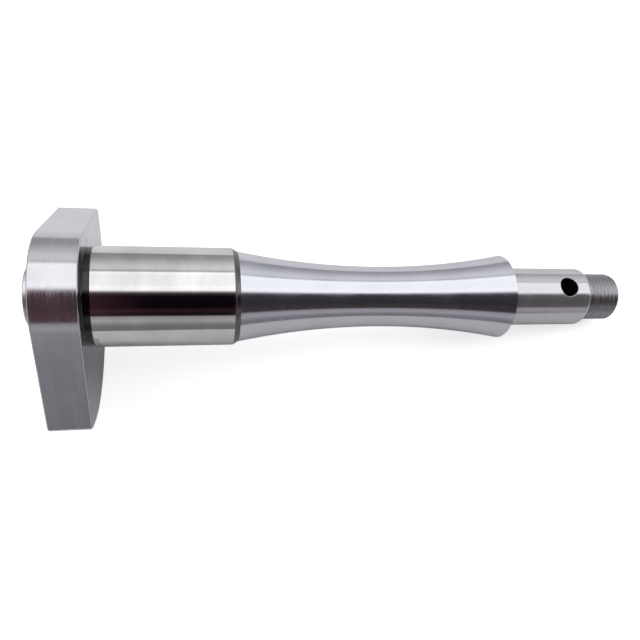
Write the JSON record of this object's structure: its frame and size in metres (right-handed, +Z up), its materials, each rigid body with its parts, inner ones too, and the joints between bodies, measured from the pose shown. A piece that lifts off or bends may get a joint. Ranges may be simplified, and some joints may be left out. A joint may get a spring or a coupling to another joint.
{
  "type": "counterweighted stepped shaft",
  "caption": "Steel shaft with a fan-shaped counterweight web, a ground journal, an hourglass neck, a seat with a cross hole and a threaded end.",
  "frame": {"origin": "middle of the footprint box, on the floor that the shaft rests on", "axes": "+Z up. The shaft lies along +X from the counterweight to the threaded end, its axis dipping by 10.4 degrees. The X-Z plane is its plane of symmetry"},
  "size_m": [0.194, 0.0742, 0.0608],
  "materials": {
    "ground_steel": "ground and polished, mirror bright with fine circular marks",
    "machined_steel": "milled and turned, satin with fine tool marks",
    "dark_steel": "unground, darkened by heat treatment"
  },
  "bodies": {
    "root": {"stepped_shaft": "ground_steel"}
  },
  "joints": []
}
